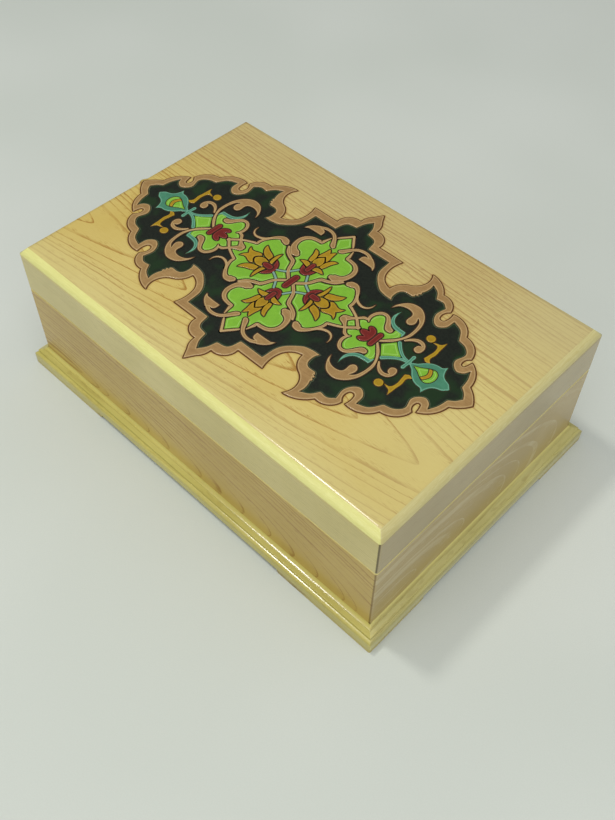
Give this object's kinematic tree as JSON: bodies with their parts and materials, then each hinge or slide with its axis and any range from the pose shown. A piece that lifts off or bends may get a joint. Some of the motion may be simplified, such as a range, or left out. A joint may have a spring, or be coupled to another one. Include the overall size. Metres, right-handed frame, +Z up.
{
  "type": "hinged box",
  "caption": "Shallow rectangular wooden box with a hinged chamfered lid, a relief medallion on top, a moulded plinth and low corner feet.",
  "frame": {"origin": "on the floor under the middle of the plinth, at the underside of the feet", "axes": "+X along the long side, +Y from the front to the hinged back, +Z up"},
  "size_m": [0.294, 0.1974, 0.0989],
  "materials": {
    "top_veneer": "clear gloss lacquer over pale straight-grained veneer",
    "lid_veneer": "clear gloss lacquer over pale veneer, solid chamfered edge",
    "wall_veneer": "clear gloss lacquer over pale veneer with arched figure",
    "moulding_wood": "clear gloss lacquer on solid pale moulding",
    "foot_wood": "clear lacquer on thin solid wood",
    "base_board": "plain unlacquered board",
    "velvet_lining": "short-pile velvet on card",
    "hinge_brass": "polished",
    "border_tan": "painted, clear lacquer",
    "ground_dark_green": "painted, clear lacquer",
    "field_green": "painted, clear lacquer",
    "palmette_teal": "painted, clear lacquer"
  },
  "bodies": {
    "box": {"body_back_lining": "velvet_lining", "body_back_wall": "wall_veneer", "body_bottom_panel": "base_board", "body_floor_lining": "velvet_lining", "body_front_lining": "velvet_lining", "body_front_wall": "wall_veneer", "body_left_lining": "velvet_lining", "body_left_wall": "wall_veneer", "body_right_lining": "velvet_lining", "body_right_wall": "wall_veneer", "foot_back_left": "foot_wood", "foot_back_right": "foot_wood", "foot_front_left": "foot_wood", "foot_front_right": "foot_wood", "hinge_body_screws": "hinge_brass", "hinge_left_body_leaf": "hinge_brass", "hinge_left_pin": "hinge_brass", "hinge_right_body_leaf": "hinge_brass", "hinge_right_pin": "hinge_brass", "plinth_back_moulding": "moulding_wood", "plinth_front_moulding": "moulding_wood", "plinth_left_moulding": "moulding_wood", "plinth_right_moulding": "moulding_wood"},
    "lid": {"hinge_left_lid_leaf": "hinge_brass", "hinge_lid_screws": "hinge_brass", "hinge_right_lid_leaf": "hinge_brass", "lid_back_rail": "lid_veneer", "lid_front_rail": "lid_veneer", "lid_left_rail": "lid_veneer", "lid_lining": "velvet_lining", "lid_right_rail": "lid_veneer", "lid_top_panel": "top_veneer", "medallion_border": "border_tan", "medallion_cartouches": "field_green", "medallion_ground": "ground_dark_green", "medallion_long_petals": "field_green", "medallion_palmettes": "palmette_teal", "medallion_short_petals": "field_green"}
  },
  "joints": [
    {"name": "lid_hinge", "type": "hinge", "parent": "box", "child": "lid", "pos_m": [0, 0.0943, 0.0667], "axis": [-1, 0, 0], "range_deg": [0, 100]}
  ]
}
